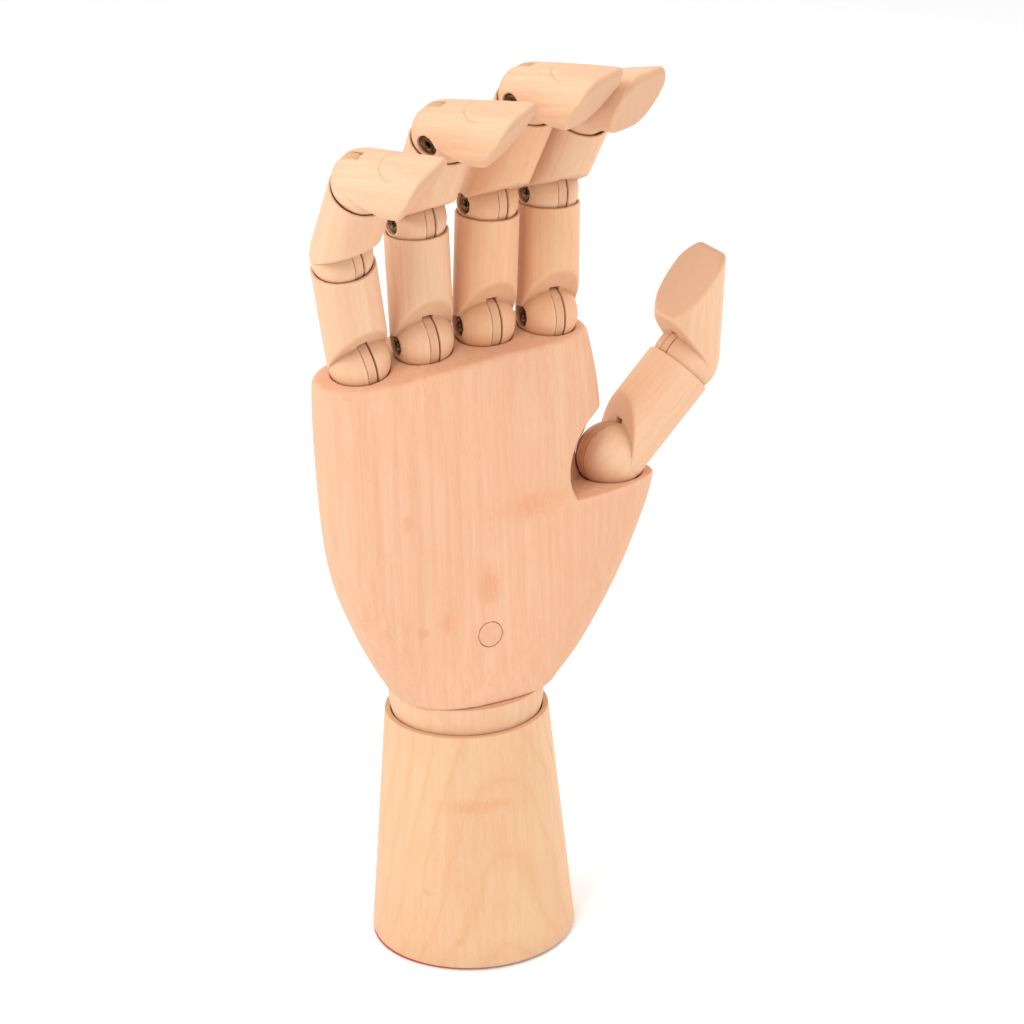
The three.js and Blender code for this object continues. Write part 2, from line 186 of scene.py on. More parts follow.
def shaft_field(x, y, z, radius):
    """A joint's ball with the round segment growing out of it, scooped on the palm side."""
    grown = radius - BALL_STEP * np.clip(1 - z, 0, 1)
    shaft = np.maximum(np.hypot(x, y) - grown, -z)
    scoop = ((SCOOP_START - y) * math.tan(SCOOP_SLOPE) - z) * math.cos(SCOOP_SLOPE)
    shaft = smax(shaft, scoop, 0.7)
    return smin(ball_field(x, y, z, radius - BALL_STEP), shaft, 0.2)


def rim_wobble(x, y, seed):
    """The slight raggedness of a socket's thin rim."""
    a = np.arctan2(y, x)
    waves = ((3, 0.05), (7, 0.035), (17, 0.03), (31, 0.025))
    return sum(size * np.sin(n * a + seed * n * 1.7) for n, size in waves)


def segment_field(radius, length, head, child_ball, seed):
    ball = radius - BALL_STEP
    end = length - RIM_DEPTH

    def field(x, y, z):
        body = shaft_field(x, y, z, radius)
        body = smax(body, z - end - rim_wobble(x, y, seed), 0.4)
        body = smax(body, -slot_field(x, y, z, ball), 0.2)
        body = smax(body, -pin_hole_field(x, y, z, radius, head), 0.25)
        return smax(body, -socket_field(x, y, z - length, child_ball), 0.2)

    return field


def nail_groove(x, y, z, length):
    """Depth of the fine line cut round the nail: a U that fades towards the fingertip."""
    half = 6.0
    bend_z = NAIL_START + half
    off = np.where(z < bend_z, np.abs(np.hypot(x, z - bend_z) - half), np.abs(np.abs(x) - half))
    fade = np.clip((length * 0.68 - z) / 6, 0, 1)
    return 0.2 * np.exp(-((off / 0.35) ** 2)) * fade * (y > 0)


def tip_field(radius, length, head):
    ball = radius - BALL_STEP
    rounding = 0.7 * radius
    rise = 1 / math.tan(PAD_SLOPE)
    start = length + PAD_OVERRUN - 2 * radius * rise

    def field(x, y, z):
        body = shaft_field(x, y, z, radius)
        past = np.maximum(z - length + rounding, 0) / rounding
        outline = (np.hypot(x / (radius + 0.2), past) - 1) * rounding
        body = smax(body, outline, 2.0)
        nail = (y - radius + np.maximum(z - NAIL_START, 0) * math.tan(NAIL_SLOPE)) * math.cos(NAIL_SLOPE)
        body = smax(body, nail, 0.6)
        pad = (z - start - (y + radius) * rise) / math.hypot(1, rise)
        body = smax(body, pad, 0.9 + APEX_ROUNDING * np.clip((z - length + 8) / 8, 0, 1))
        body = body + nail_groove(x, y, z, length)
        body = smax(body, -slot_field(x, y, z, ball), 0.2)
        return smax(body, -pin_hole_field(x, y, z, radius, head), 0.25)

    return field


def tongue_field(ball):
    disc_radius = ball - 0.25
    shank = shank_radius(ball)
    top = shank_top(ball)

    def field(x, y, z):
        x = x - TONGUE_SHIFT
        stem = np.maximum(np.abs(y) - shank + 0.5, np.maximum(z, top - 1 - z))
        outline = np.minimum(np.hypot(y, z) - disc_radius, stem)
        blade = smax(outline, np.abs(x) - TONGUE_THICKNESS / 2, 0.25)
        ends = np.abs(z - top + SHANK_LENGTH / 2) - SHANK_LENGTH / 2
        peg = smax(np.hypot(x + TONGUE_SHIFT, y) - shank, ends, 0.4)
        return smax(np.minimum(blade, peg), PIN_RADIUS + GAP - np.hypot(y, z), 0.1)

    return field


# ---------- the palm ----------
def smoothed(values, sigma):
    """A row of samples run through a Gaussian of sigma samples, its ends held."""
    reach = int(4 * sigma)
    offsets = np.arange(-reach, reach + 1)
    weights = np.exp(-0.5 * (offsets / sigma) ** 2)
    padded = np.pad(values, reach, mode="edge")
    return np.convolve(padded, weights / weights.sum(), mode="valid")


class PalmShape:
    """The palm's cross-sections as smooth functions of height."""

    STEP = 0.25

    def __init__(self):
        rings = np.array(PALM_RINGS)
        below = rings[rings[:, 0] <= LEDGE_Z]
        above = rings[rings[:, 0] > LEDGE_Z]
        self.z = np.arange(PALM_BOTTOM_Z - 5, 215, self.STEP)
        soft = 2.5 / self.STEP
        crisp = 0.5 / self.STEP
        self.low = smoothed(np.interp(self.z, rings[:, 0], rings[:, 1]), soft)
        self.thick = smoothed(np.interp(self.z, rings[:, 0], rings[:, 3]), soft)
        self.mound = smoothed(np.interp(self.z, below[:, 0], below[:, 2]), soft)
        side = np.interp(self.z, above[:, 0], above[:, 2])
        side = np.where(self.z < LEDGE_Z, np.minimum(side, self.mound - 4), side)
        blend = np.clip((self.z - 148) / 8, 0, 1)
        self.side = smoothed(side, crisp) * (1 - blend) + smoothed(side, soft) * blend

    def loft(self, x, y, z, high):
        """Distance to a loft whose half width on the thumb's side is given as samples."""
        p = PALM_SQUARENESS
        width = np.where(x < 0, np.interp(z, self.z, self.low), np.interp(z, self.z, high))
        slope = np.where(x < 0, 0, np.interp(z, self.z, np.gradient(high, self.STEP)))
        thick = np.interp(z, self.z, self.thick)
        ax, ay = np.abs(x) / width, np.abs(y) / thick
        f = np.maximum((ax ** p + ay ** p) ** (1 / p), 1e-3)
        along_x = ax ** (p - 1) / width
        along_y = ay ** (p - 1) / thick
        along_z = ax ** p / width * slope
        steep = np.sqrt(along_x ** 2 + along_y ** 2 + along_z ** 2) * f ** (1 - p)
        return (f - 1) / np.maximum(steep, 0.012)

    def field(self, x, y, z):
        mound = smax(self.loft(x, y, z, self.mound), z - LEDGE_Z, 0.8)
        side = smax(self.loft(x, y, z, self.side), -thumb_hollow(x, y, z), HOLLOW_BLEND)
        body = np.minimum(mound, side)
        body = smax(body, over_the_top(x, y, z), 1.6)
        body = smax(body, PALM_BOTTOM_Z - z, 0.4)
        for finger in FINGERS:
            body = smax(body, -socket_field(*into_socket(finger, x, y, z), FINGER_RADII[0] - BALL_STEP), 0.35)
        body = smax(body, -thumb_socket(x, y, z), 0.35)
        rod = np.maximum(np.hypot(x, y) - ROD_RADIUS - 0.6, z - ROD_TOP_Z - 2)
        cross = np.maximum(np.hypot(x, z - BARREL_Z) - BARREL_RADIUS - 0.12, y - BARREL_BACK - GAP)
        return smax(body, -np.minimum(rod, cross), 0.15)


def thumb_hollow(x, y, z):
    """The ball-shaped pocket beside the thumb: negative where wood is taken away."""
    u, v, w = HOLLOW_MIDDLE
    return ball_field(x - u, y - v, z - w, HOLLOW_RADIUS)


def over_the_top(x, y, z):
    """Everything above the palm's top, which steps down with the knuckles and slopes to the palm side."""
    pins = [(f["x"], f["z"] - TOP_SINK) for f in FINGERS]
    ends = [(-70, pins[0][1] - 4)] + pins + [(70, pins[-1][1] - 1.5)]
    mid = (pins[0][1] + pins[-1][1]) / 2
    top = np.interp(x, *zip(*ends))
    tilted = (z - mid) * math.cos(TOP_SLOPE) - y * math.sin(TOP_SLOPE)
    return tilted - (top - mid)


def socket_matrix(finger):
    """Where a finger's socket stands in the hand, in millimetres."""
    lean = Matrix.Rotation(math.radians(finger["lean"]), 4, "Y")
    turn = Matrix.Rotation(math.radians(finger["turn"]), 4, "Z")
    return Matrix.Translation((finger["x"], 0, finger["z"])) @ lean @ turn


def into_frame(matrix, x, y, z):
    m = matrix.inverted()
    return [m[i][0] * x + m[i][1] * y + m[i][2] * z + m[i][3] for i in range(3)]


def into_socket(finger, x, y, z):
    return into_frame(socket_matrix(finger), x, y, z)


def thumb_socket(x, y, z):
    """The thumb's cup, opened on its outer side where the thumb leans away from the palm."""
    ball = THUMB["radii"][0] - BALL_STEP
    cup = socket_field(*into_socket(THUMB, x, y, z), ball)
    leaning = socket_matrix(THUMB) @ Matrix.Rotation(math.radians(THUMB["bend"][0] - THUMB_OUTWARD), 4, "X")
    u, v, w = into_frame(leaning, x, y, z)
    return np.minimum(cup, np.maximum(np.hypot(u, v) - THUMB["radii"][0] - GAP, -w))


# ---------- from a field to a mesh ----------
CORNERS = np.array([(i, j, k) for i in (0, 1) for j in (0, 1) for k in (0, 1)])
EDGES = [(a, b) for a in range(8) for b in range(a + 1, 8) if np.abs(CORNERS[a] - CORNERS[b]).sum() == 1]


def surface_nets(field, low, high, step):
    """Vertices and outward quads of a field's zero surface."""
    axes = [np.arange(a - 2 * step, b + 2.5 * step, step) for a, b in zip(low, high)]
    values = field(*np.meshgrid(*axes, indexing="ij"))
    inside = values < 0
    n = np.array(inside.shape) - 1
    corners = [inside[i:n[0] + i, j:n[1] + j, k:n[2] + k] for i, j, k in CORNERS]
    count = sum(c.astype(np.int8) for c in corners)
    mixed = (count > 0) & (count < 8)
    cells = np.argwhere(mixed)
    index = np.full(mixed.shape, -1)
    index[mixed] = np.arange(len(cells))
    at = [values[tuple((cells + c).T)] for c in CORNERS]
    total = np.zeros((len(cells), 3))
    hits = np.zeros(len(cells))
    for a, b in EDGES:
        cross = (at[a] < 0) != (at[b] < 0)
        t = at[a][cross] / (at[a][cross] - at[b][cross])
        total[cross] += CORNERS[a] + t[:, None] * (CORNERS[b] - CORNERS[a])
        hits[cross] += 1
    points = (cells + total / hits[:, None]) * step + [a[0] for a in axes]
    return points, crossing_quads(inside, index)


def crossing_quads(inside, index):
    """One quad round each grid edge that the surface crosses."""
    quads = []
    for axis in range(3):
        here = np.take(inside, range(inside.shape[axis] - 1), axis)
        ahead = np.take(inside, range(1, inside.shape[axis]), axis)
        edges = np.argwhere(here != ahead)
        u, v = np.eye(3, dtype=int)[(axis + 1) % 3], np.eye(3, dtype=int)[(axis + 2) % 3]
        ring = [index[tuple((edges - back).T)] for back in (0 * u, u, u + v, v)]
        quad = np.stack(ring, axis=1)
        outward = here[tuple(edges.T)]
        quad[~outward] = quad[~outward][:, ::-1]
        quads.append(quad)
    return np.concatenate(quads)


def gradient(field, points, h):
    steps = np.eye(3) * h
    return np.stack([field(*(points + s).T) - field(*(points - s).T) for s in steps], axis=1) / (2 * h)


def settle(field, points, step):
    """Moves each vertex onto the surface along the field's slope."""
    for _ in range(3):
        slope = gradient(field, points, 0.03)
        size = np.maximum((slope ** 2).sum(axis=1), 0.3)
        move = np.clip(field(*points.T), -step, step) / size
        points = points - slope * move[:, None]
    return points


def edge_amount(field, points, reach=0.55):
    """How sharply the surface turns at each vertex: positive on edges, negative in creases."""
    around = sum(field(*(points + s * d).T) for d in np.eye(3) * reach for s in (1, -1))
    return np.clip((around - 6 * field(*points.T)) / reach ** 2 / 1.5, -1, 1)


def carved(name, field, low, high, step, place=Matrix()):
    """A piece made from a field in its own frame and put at its place in the hand, in millimetres."""
    points, quads = surface_nets(field, low, high, step)
    points = settle(field, points, step)
    normals = gradient(field, points, 0.12)
    normals /= np.linalg.norm(normals, axis=1)[:, None]
    mesh = bpy.data.meshes.new(name)
    mesh.from_pydata((points * MM).tolist(), [], quads.tolist())
    mesh.shade_smooth()
    mesh.normals_split_custom_set_from_vertices(normals.tolist())
    edge = mesh.attributes.new("edge", "FLOAT", "POINT")
    edge.data.foreach_set("value", edge_amount(field, points).astype(np.float32))
    piece = bpy.data.objects.new(name, mesh)
    bpy.context.collection.objects.link(piece)
    piece.matrix_world = in_metres(place)
    return piece


def in_metres(place):
    placed = place.copy()
    placed.translation = placed.translation * MM
    return placed


def turned(name, profile, facets=144, place=Matrix(), sharp=35):
    """A piece turned on the lathe: its closed profile, in millimetres, goes round Z."""
    n = len(profile)
    vertices, faces = [], []
    for i in range(facets):
        a = 2 * math.pi * i / facets
        vertices += [(r * MM * math.cos(a), r * MM * math.sin(a), z * MM) for r, z in profile]
    for i in range(facets):
        a, b = i * n, (i + 1) % facets * n
        faces += [(a + j, b + j, b + (j + 1) % n, a + (j + 1) % n) for j in range(n)]
    mesh = bpy.data.meshes.new(name)
    mesh.from_pydata(vertices, [], faces)
    mesh.validate()
    mesh.shade_smooth()
    mesh.set_sharp_from_angle(angle=math.radians(sharp))
    piece = bpy.data.objects.new(name, mesh)
    bpy.context.collection.objects.link(piece)
    piece.matrix_world = in_metres(place)
    return piece


def arc(radius, start, end, steps, centre=0.0):
    """Points of a profile round a centre on the axis, between two angles in degrees."""
    angles = np.radians(np.linspace(start, end, steps + 1))
    return [(radius * math.cos(a), centre + radius * math.sin(a)) for a in angles]


# ---------- materials ----------
class Shader:
    """A node material put together with short calls."""

    def __init__(self, name):
        self.material = bpy.data.materials.new(name)
        self.material.use_nodes = True
        self.nodes = self.material.node_tree.nodes
        self.links = self.material.node_tree.links
        self.bsdf = self.nodes["Principled BSDF"]

    def feed(self, socket, value):
        if isinstance(value, bpy.types.NodeSocket):
            self.links.new(value, socket)
        else:
            socket.default_value = value

    def math(self, operation, *values, clamp=False):
        node = self.nodes.new("ShaderNodeMath")
        node.operation = operation
        node.use_clamp = clamp
        for socket, value in zip(node.inputs, values):
            self.feed(socket, value)
        return node.outputs[0]

    def vector(self, operation, a, b=(0, 0, 0), scale=1.0):
        node = self.nodes.new("ShaderNodeVectorMath")
        node.operation = operation
        self.feed(node.inputs[0], a)
        self.feed(node.inputs[1], b)
        if operation == "SCALE":
            self.feed(node.inputs["Scale"], scale)
        return node.outputs["Value" if operation in ("LENGTH", "DOT_PRODUCT") else "Vector"]

    def noise(self, where, scale, detail=2.0, roughness=0.5, colour=False):
        node = self.nodes.new("ShaderNodeTexNoise")
        self.feed(node.inputs["Vector"], where)
        node.inputs["Scale"].default_value = scale
        node.inputs["Detail"].default_value = detail
        node.inputs["Roughness"].default_value = roughness
        return node.outputs["Color" if colour else "Fac"]

    def ramp(self, value, low, high):
        node = self.nodes.new("ShaderNodeMapRange")
        self.feed(node.inputs["Value"], value)
        node.inputs["From Min"].default_value = low
        node.inputs["From Max"].default_value = high
        node.interpolation_type = "SMOOTHSTEP"
        return node.outputs["Result"]

    def mix(self, amount, a, b, blend="MIX"):
        node = self.nodes.new("ShaderNodeMix")
        node.data_type = "RGBA"
        node.blend_type = blend
        self.feed(node.inputs["Factor"], amount)
        self.feed(node.inputs[6], a)
        self.feed(node.inputs[7], b)
        return node.outputs[2]

    def attribute(self, name):
        node = self.nodes.new("ShaderNodeAttribute")
        node.attribute_name = name
        return node.outputs["Fac"]

    def coordinate(self, kind):
        return self.nodes.new("ShaderNodeTexCoord").outputs[kind]

    def bump(self, height, strength, distance):
        node = self.nodes.new("ShaderNodeBump")
        self.feed(node.inputs["Height"], height)
        node.inputs["Strength"].default_value = strength
        node.inputs["Distance"].default_value = distance
        self.links.new(node.outputs["Normal"], self.bsdf.inputs["Normal"])


def srgb(r, g, b):
    """A colour given as 0 to 255 screen values."""
    def linear(v):
        v /= 255
        return v / 12.92 if v <= 0.04045 else ((v + 0.055) / 1.055) ** 2.4
    return (linear(r), linear(g), linear(b), 1)


def scaled(colour, *factors):
    return tuple(c * f for c, f in zip(colour, factors)) + (1,)


def wood(name, colour, seed, pith=(40, 70), ring=3.2, figure=1.0, taper=0.0, arches=0.0,
         ends=0.75, stripe=0.6, marks=()):
    """Pale fine-grained wood with its grain along the piece's own Z.

    pith: minus the middle of the tree's rings across the grain, in millimetres
    ring, figure: the rings' spacing and the strength of their broad bands
    taper, arches: how fast the rings widen along the grain, and the strength of the lines this draws
    ends, stripe: the strength of the end grain's tint and of the stripes along the grain
    marks: reddish patches, each a middle, its half sizes and its strength (on the palm, one of them is
    painted shade)
    """
    def tint(r, g, b):
        return scaled(colour[:3], r, g, b)

    def layer(amount, strength, under, *factors):
        return s.mix(s.math("MULTIPLY", amount, strength), under, tint(*factors))

    s = Shader(name)
    rng = np.random.default_rng(seed)
    offset = tuple(float(v) for v in rng.uniform(-300, 300, 3))
    mm = s.vector("SCALE", s.coordinate("Object"), scale=1000.0)
    place = s.vector("ADD", mm, offset)
    along = s.vector("MULTIPLY", place, (1, 1, 0.07))
    sway = s.vector("SUBTRACT", s.noise(along, 0.05, 2.0, colour=True), (0.5, 0.5, 0.5))
    across = s.vector("ADD", s.vector("MULTIPLY", mm, (1, 1, 0)), (pith[0], pith[1], 0))
    across = s.vector("ADD", across, s.vector("MULTIPLY", sway, (5, 5, 0)))
    cone = s.math("MULTIPLY", s.noise(s.vector("MULTIPLY", place, (0.3, 0.3, 1)), 0.022, 1.0), 26.0)
    depth = s.math("ADD", s.vector("LENGTH", across), cone)
    depth = s.math("ADD", depth, s.math("MULTIPLY", s.vector("DOT_PRODUCT", mm, (0, 0, 1)), taper))
    wave = s.math("SINE", s.math("MULTIPLY", depth, 2 * math.pi / ring))
    late = s.ramp(wave, 0.1, 1.0)
    soft_late = s.ramp(wave, -1.0, 1.0)
    ring_line = s.ramp(wave, 0.90, 1.0)

    fibre_place = s.vector("MULTIPLY", place, (1, 1, 0.03))
    fibre = s.noise(fibre_place, 3.4, 3.0, 0.65)
    streak = s.noise(s.vector("MULTIPLY", place, (1, 1, 0.012)), 0.5, 3.0, 0.65)
    fleck = s.ramp(s.noise(s.vector("MULTIPLY", place, (1, 1, 0.16)), 5.5, 1.0, 0.4), 0.62, 0.74)
    blotch = s.ramp(s.noise(s.vector("MULTIPLY", place, (1, 1, 0.5)), 0.045, 2.0), 0.35, 0.68)
    speck = s.ramp(s.noise(place, 0.16, 0.0), 0.80, 0.88)

    end_grain = s.vector("DOT_PRODUCT", s.coordinate("Normal"), (0, 0, 1))
    end_grain = s.math("POWER", s.math("ABSOLUTE", end_grain), 2.0)
    turn = s.attribute("edge")

    tone = layer(blotch, 0.7, colour, 0.96, 0.88, 0.86)
    for middle, size, amount in marks:
        off = s.vector("DIVIDE", s.vector("SUBTRACT", mm, middle), size)
        ragged = s.math("MULTIPLY", s.noise(mm, 0.3, 2.0), 0.8)
        near = s.ramp(s.math("ADD", s.vector("LENGTH", off), ragged), 1.4, 0.5)
        tone = layer(near, amount, tone, 0.92, 0.64, 0.52)
    tone = layer(s.ramp(streak, 0.36, 0.66), stripe, tone, 0.94, 0.84, 0.78)
    tone = layer(late, 0.16 * figure, tone, 0.90, 0.76, 0.64)
    tone = layer(ring_line, arches, tone, 0.90, 0.74, 0.62)
    tone = layer(s.ramp(fibre, 0.42, 0.62), 0.30, tone, 1.06, 1.08, 1.10)
    tone = layer(fleck, 0.26, tone, 0.80, 0.66, 0.54)
    tone = layer(speck, 0.30, tone, 0.82, 0.62, 0.48)
    tone = layer(end_grain, ends, tone, 0.80, 0.70, 0.66)
    # From the same edge attribute, convex edges are lightened as wear and creases are darkened as painted
    # shade.
    tone = layer(s.math("MAXIMUM", turn, 0.0), 0.28, tone, 1.06, 1.03, 0.98)
    painted_crease_shade = s.math("MAXIMUM", s.math("MULTIPLY", turn, -1.0), 0.0)
    tone = layer(painted_crease_shade, 0.40, tone, 0.50, 0.34, 0.25)
    s.feed(s.bsdf.inputs["Base Color"], tone)

    rough = s.math("ADD", s.math("MULTIPLY", fibre, 0.16), s.math("MULTIPLY", end_grain, 0.15))
    s.feed(s.bsdf.inputs["Roughness"], s.math("ADD", rough, 0.50))
    s.bsdf.inputs["Specular IOR Level"].default_value = 0.32
    height = s.math("ADD", s.math("MULTIPLY", fibre, 0.7), s.math("MULTIPLY", soft_late, 0.3))
    s.bump(s.math("SUBTRACT", height, s.math("MULTIPLY", fleck, 0.6)), 0.35, 0.00012)
    return s.material


def metal(name, colour, roughness, tarnish):
    s = Shader(name)
    mm = s.vector("SCALE", s.coordinate("Object"), scale=1000.0)
    patch = s.ramp(s.noise(mm, 0.7, 4.0, 0.6), 0.35, 0.7)
    s.feed(s.bsdf.inputs["Base Color"], s.mix(patch, colour, tarnish))
    s.bsdf.inputs["Metallic"].default_value = 1.0
    fine = s.noise(mm, 6.0, 3.0)
    rough = s.math("ADD", s.math("MULTIPLY", patch, 0.2), s.math("MULTIPLY", fine, 0.12))
    s.feed(s.bsdf.inputs["Roughness"], s.math("ADD", rough, roughness))
    s.bump(fine, 0.3, 0.00006)
    return s.material


def felt(name, colour):
    s = Shader(name)
    mm = s.vector("SCALE", s.coordinate("Object"), scale=1000.0)
    fuzz = s.noise(mm, 4.5, 5.0, 0.7)
    clump = s.noise(mm, 0.5, 3.0)
    tone = s.mix(s.ramp(fuzz, 0.3, 0.7), scaled(colour[:3], 0.6, 0.55, 0.55), colour)
    tone = s.mix(s.math("MULTIPLY", clump, 0.3), tone, scaled(colour[:3], 1.2, 1.3, 1.3))
    s.feed(s.bsdf.inputs["Base Color"], tone)
    s.bsdf.inputs["Roughness"].default_value = 1.0
    s.bsdf.inputs["Sheen Weight"].default_value = 0.4
    s.bump(fuzz, 0.8, 0.0003)
    return s.material


FINGER_COLOUR = srgb(222, 182, 148)
# Painted shade: the middle and index fingers' proximal segments and the middle finger's middle segment take a
# darker copy of the finger colour for the shade in the hand's middle.
SHADED_FINGER_COLOUR = srgb(222, 176, 138)
SHADED_SEGMENTS = ("middle_proximal", "index_proximal", "middle_middle")
PALM_COLOUR = srgb(218, 172, 139)
BASE_COLOUR = srgb(216, 175, 137)
NECK_COLOUR = srgb(216, 175, 140)
TONGUE_COLOUR = srgb(212, 168, 132)
PALM_MARKS_AND_SHADE = (
    ((0, -18, 122), (6, 12, 9), 0.9),
    ((-13, -18, 113), (5, 12, 5), 0.7),
    # Painted shade: this patch over the ledge's crease beside the thumb is the thumb's shadow on the palm.
    ((17, -18, 145), (17, 12, 6), 0.8),
)
BASE_MARKS = (((-12, -27, 54), (22, 16, 4), 0.6),)
# The brass colour is kept dark as painted shade for the rivets sunk in their counterbores; the tarnish
# patches are the brass's own.
BRASS = metal("brass", srgb(128, 98, 58), 0.3, srgb(52, 36, 24))
STEEL = metal("steel", srgb(176, 180, 184), 0.3, srgb(128, 130, 132))
FELT = felt("red_felt", srgb(196, 44, 40))


def finish_piece(piece, material, slot, body, *nodes):
    piece.data.materials.append(material)
    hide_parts(*nodes)
    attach(piece, body)


# ---------- fingers ----------
TONGUE_STEP = 0.4
SEGMENT_STEP = 0.42


def pin_profile(radius):
    """A hollow rivet lying in its counterbore: shaft, flanged head with a rolled lip, and the hole in it."""
    seat = pin_seat(radius)
    foot = -0.66 * radius
    return [
        (0.02, foot), (PIN_RADIUS - 0.2, foot), (PIN_RADIUS, foot + 0.2),
        (PIN_RADIUS, seat + 0.3), (2.6, seat + 0.3), (2.8, seat + 0.5), (2.75, seat + 0.8),
        (2.45, seat + 1.05), (1.9, seat + 1.2), (1.4, seat + 1.1), (1.05, seat + 0.8),
        (0.9, seat + 0.2), (0.85, seat - 1.2), (0.02, seat - 1.3),
    ]


def make_finger(finger, seed):
    """One finger from its knuckle out. Each joint's tongue rides on the piece before it."""
    name, head, radii, lengths = finger["name"], finger["head"], finger["radii"], finger["lengths"]
    holder, carrier = socket_matrix(finger), "palm"
    for i, part in enumerate(finger["parts"]):
        radius, length = radii[i], lengths[i]
        ball = radius - BALL_STEP
        label = f"{name}_{part}"
        shank_end = shank_top(ball) - SHANK_LENGTH
        low, high = (-4, -ball, shank_end), (4, ball, ball)
        tongue = carved(f"{label}_tongue_wood", tongue_field(ball), low, high, TONGUE_STEP, holder)
        tongue_wood = wood(f"{label}_tongue_grain", TONGUE_COLOUR, seed + 50 + i, figure=0.6)
        rides = f"{name}_tip_swivel" if part == "tip" else carrier
        finish_piece(tongue, tongue_wood, "tongue_wood", rides, f"{label}_tongue")

        place = holder @ Matrix.Rotation(math.radians(finger["bend"][i]), 4, "X")
        last = i + 1 == len(radii)
        if last:
            field, end = tip_field(radius, length, head), length
        else:
            field = segment_field(radius, length, head, radii[i + 1] - BALL_STEP, seed + i)
            end = length - RIM_DEPTH
        side = radius + 0.4
        low, high = (-side, -side, -radius), (side, side, end + 0.4)
        segment = carved(f"{label}_wood", field, low, high, SEGMENT_STEP, place)
        # The segments in the hand's middle get the darker colour as painted shade.
        colour = SHADED_FINGER_COLOUR if label in SHADED_SEGMENTS else FINGER_COLOUR
        grain = wood(f"{label}_grain", colour, seed + i, pith=(30 + 7 * i, 55 - 9 * i), ring=2.6, ends=1.5)
        finish_piece(segment, grain, "finger_wood", label, label)

        pin_place = place @ Matrix.Rotation(math.pi / 2 * head, 4, "Y")
        pin = turned(f"{label}_rivet", pin_profile(radius), 40, pin_place, 50)
        finish_piece(pin, BRASS, "brass", label, f"{label}_pin")

        carrier = label
        if not last:
            twist = Matrix.Rotation(math.radians(finger["twist"][i + 1]), 4, "Z")
            holder = place @ Matrix.Translation((0, 0, length)) @ twist


# ---------- palm, wrist and base ----------
PALM_BOX = ((-46.5, -21, 83), (66.5, 21, 201))
PALM_STEP = 0.62


def make_palm():
    shape = PalmShape()
    palm = carved("palm_wood", shape.field, *PALM_BOX, PALM_STEP)
    grain = wood("palm_grain", PALM_COLOUR, 11, pith=(-12, 150), ring=5.2, figure=0.8, ends=0.0, stripe=0.85,
                 marks=PALM_MARKS_AND_SHADE)
    finish_piece(palm, grain, "palm_wood", "palm", "palm_block")
    along_y = Matrix.Translation((0, 0, BARREL_Z)) @ Matrix.Rotation(-math.pi / 2, 4, "X")
    edge = 0.25
    plug = turned("palm_plug_wood", [
        (0.02, PLUG_FRONT), (BARREL_RADIUS - edge, PLUG_FRONT), (BARREL_RADIUS, PLUG_FRONT + edge),
        (BARREL_RADIUS, PLUG_BACK), (0.02, PLUG_BACK),
    ], 64, along_y)
    grain = wood("plug_grain", PALM_COLOUR, 23, ring=1.6, ends=0.1)
    finish_piece(plug, grain, "palm_wood", "palm", "palm_plug")


def base_profile():
    cup = WRIST_RADIUS + GAP + 0.1
    degrees = math.degrees
    rim = -degrees(math.asin((PIVOT_Z - BASE_TOP_Z + 0.25) / cup))
    hole = -degrees(math.acos(WEB_HOLE_RADIUS / cup))
    seat_inner = -degrees(math.acos(WEB_HOLE_RADIUS / SEAT_RADIUS))
    seat_outer = -degrees(math.acos(CHAMBER_RADIUS / SEAT_RADIUS))
    foot = PAD_THICKNESS
    narrowing = BASE_TOP_RADIUS - BASE_FOOT_RADIUS
    side_height = BASE_TOP_Z - foot - 1.2
    side = [(BASE_FOOT_RADIUS + narrowing * t, foot + 0.8 + side_height * t) for t in np.linspace(0, 1, 12)]
    return [
        (CHAMBER_RADIUS, foot), (BASE_FOOT_RADIUS - 0.7, foot), (BASE_FOOT_RADIUS - 0.2, foot + 0.25),
        *side,
        (BASE_TOP_RADIUS - 0.1, BASE_TOP_Z - 0.12), (BASE_TOP_RADIUS - 0.35, BASE_TOP_Z),
        (cup * math.cos(math.radians(rim)) + 0.12, BASE_TOP_Z),
        *arc(cup, rim, hole, 24, PIVOT_Z),
        *arc(SEAT_RADIUS, seat_inner, seat_outer, 10, PIVOT_Z),
    ]


def wrist_profile():
    low = math.degrees(math.asin((WRIST_FLAT_Z - PIVOT_Z) / WRIST_RADIUS))
    bore = ROD_RADIUS + GAP
    return [
        (bore, WRIST_FLAT_Z), *arc(WRIST_RADIUS, low, 0, 28, PIVOT_Z),
        (WRIST_RADIUS, WRIST_TOP_Z - 0.1), (WRIST_RADIUS - 0.1, WRIST_TOP_Z), (bore, WRIST_TOP_Z),
    ]


def make_base():
    base = turned("forearm_base_wood", base_profile())
    grain = wood("base_grain", BASE_COLOUR, 5, pith=(10, 62), ring=7.5, figure=1.2, taper=0.2, arches=0.25,
                 marks=BASE_MARKS)
    finish_piece(base, grain, "base_wood", "base", "forearm_base")
    r, t = PAD_RADIUS, PAD_THICKNESS
    pad = turned("foot_pad_felt", [
        (0.02, 0), (r - 0.15, 0), (r, 0.2), (r, t - 0.2), (r - 0.15, t - 0.02), (0.02, t - 0.02),
    ], place=Matrix.Translation((*PAD_MIDDLE, 0)))
    finish_piece(pad, FELT, "felt", "base", "foot_pad")
    ball = turned("wrist_ball_wood", wrist_profile())
    grain = wood("wrist_grain", NECK_COLOUR, 8, ring=3.5)
    finish_piece(ball, grain, "base_wood", "wrist", "wrist_ball")
    for node in ("seat_washer", "draw_rod", "tension_spring", "rod_washer", "rod_nut", "barrel_nut"):
        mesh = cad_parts[node].data
        mesh.materials.clear()
        mesh.materials.append(STEEL)


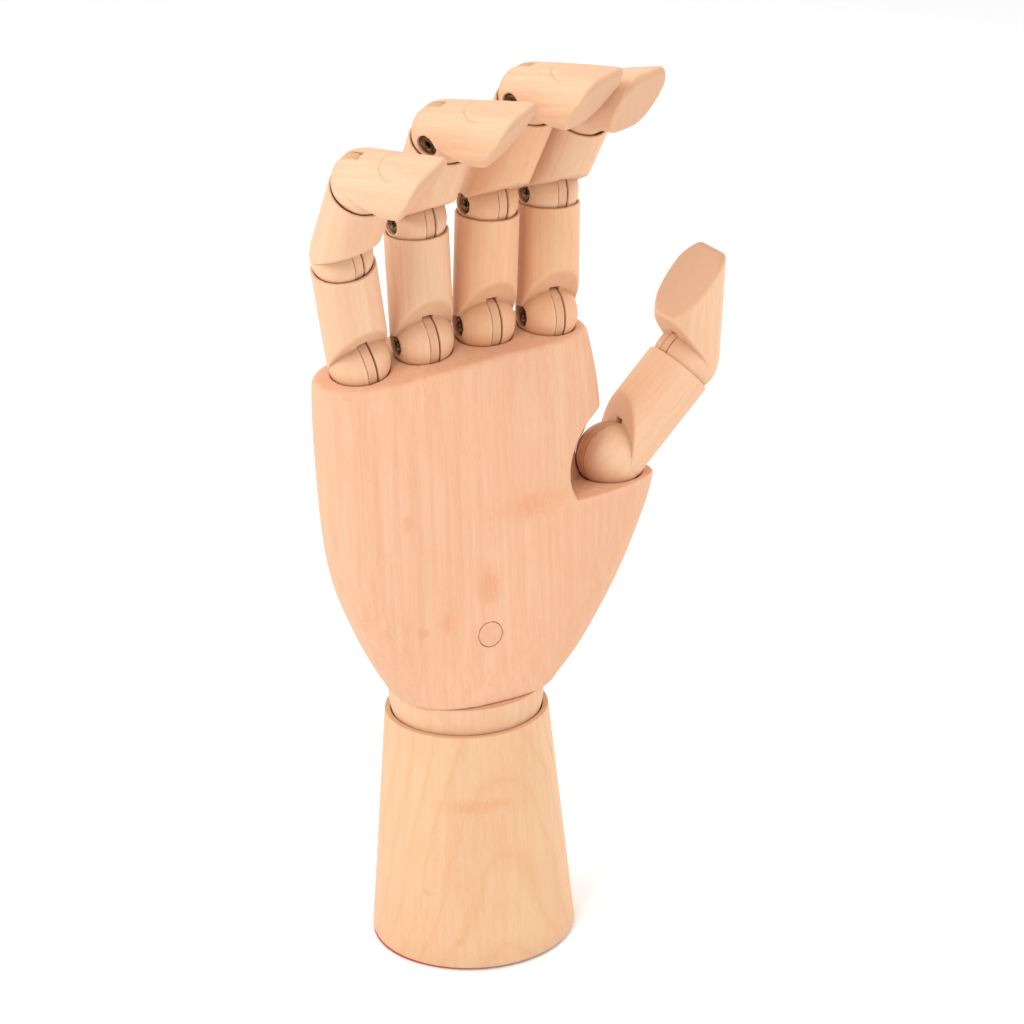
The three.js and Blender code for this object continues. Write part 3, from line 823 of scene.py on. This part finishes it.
# ---------- studio ----------
def make_camera():
    """The view the hand is shown from: a long lens, with the hand leaning slightly in the frame."""
    azimuth, elevation, roll = (math.radians(v) for v in (-27, 21.5, 1.55))
    target, distance = Vector((0.0176, 0, 0.1365)), 0.9
    level = math.cos(elevation)
    back = Vector((math.sin(azimuth) * level, -math.cos(azimuth) * level, math.sin(elevation)))
    right = Vector((math.cos(azimuth), math.sin(azimuth), 0))
    up = back.cross(right)
    rolled_right = math.cos(roll) * right - math.sin(roll) * up
    rolled_up = math.sin(roll) * right + math.cos(roll) * up
    data = bpy.data.cameras.new("camera")
    data.sensor_width = 36
    data.lens = 103.8
    data.clip_start = 0.01
    camera = bpy.data.objects.new("camera", data)
    bpy.context.collection.objects.link(camera)
    axes = Matrix((rolled_right, rolled_up, back)).transposed().to_4x4()
    camera.matrix_world = Matrix.Translation(target + distance * back) @ axes
    bpy.context.scene.camera = camera


def make_light(name, position, size, power, colour=(1, 1, 1)):
    data = bpy.data.lights.new(name, "AREA")
    data.size = size
    data.energy = power
    data.color = colour
    light = bpy.data.objects.new(name, data)
    bpy.context.collection.objects.link(light)
    aim = Vector((0.01, 0, 0.15)) - Vector(position)
    light.matrix_world = Matrix.Translation(position) @ aim.to_track_quat("-Z", "Y").to_matrix().to_4x4()


FLOOR_PALE = (0.92, 0.92, 0.92, 1)
FLOOR_GREY = (0.86, 0.86, 0.86, 1)


def make_studio():
    s = Shader("studio_floor")
    grain = s.noise(s.coordinate("Object"), 40.0, 2.0)
    s.feed(s.bsdf.inputs["Base Color"], s.mix(s.math("MULTIPLY", grain, 0.04), FLOOR_PALE, FLOOR_GREY))
    s.bsdf.inputs["Roughness"].default_value = 0.9
    mesh = bpy.data.meshes.new("floor")
    reach = 6.0
    corners = [(-reach, -reach, 0), (reach, -reach, 0), (reach, reach, 0), (-reach, reach, 0)]
    mesh.from_pydata(corners, [], [(0, 1, 2, 3)])
    mesh.materials.append(s.material)
    floor = bpy.data.objects.new("floor", mesh)
    bpy.context.collection.objects.link(floor)
    world = bpy.data.worlds.new("studio")
    world.use_nodes = True
    world.node_tree.nodes["Background"].inputs["Color"].default_value = (1, 1, 1, 1)
    world.node_tree.nodes["Background"].inputs["Strength"].default_value = 0.98
    bpy.context.scene.world = world
    make_light("key", (-0.85, -0.6, 1.2), 0.5, 8.2)
    make_light("fill", (1.0, -0.7, 0.5), 0.9, 3.2)
    make_light("left_rim", (-1.0, 0.6, 0.6), 0.6, 4)
    make_light("right_rim", (1.0, 0.4, 0.5), 0.6, 3)
    bpy.context.scene.view_settings.view_transform = "Standard"


make_camera()
make_studio()
make_base()
make_palm()
for number, one in enumerate(FINGERS + [THUMB]):
    make_finger(one, 100 * (number + 1))

bpy.context.view_layer.update()
